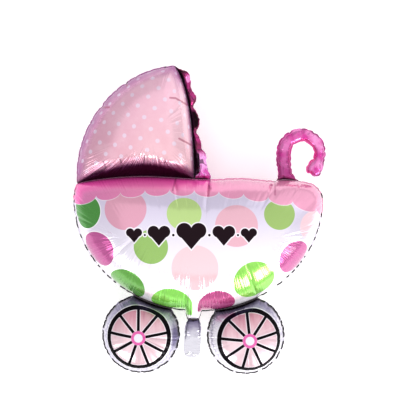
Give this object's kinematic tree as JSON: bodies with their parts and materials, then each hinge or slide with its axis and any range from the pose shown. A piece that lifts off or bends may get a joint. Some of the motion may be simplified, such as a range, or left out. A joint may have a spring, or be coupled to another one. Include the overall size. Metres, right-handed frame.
{
  "type": "pram foil balloon",
  "caption": "Gas-filled foil party balloon in the shape of a pram, with a hood, a frilled edge, a basket, wheels, a hooked handle and a filling tail.",
  "frame": {"origin": "centre of the bounding box in plan, at the resting flat on the balloon's back", "axes": "+X towards the pram's handle, +Y towards its hood, +Z out of its printed front; the balloon lies on its back"},
  "size_m": [0.54, 0.6594, 0.1931],
  "materials": {
    "printed_film": "gloss printed metallised film"
  },
  "bodies": {
    "root": {"pram_balloon": "printed_film"}
  },
  "joints": []
}
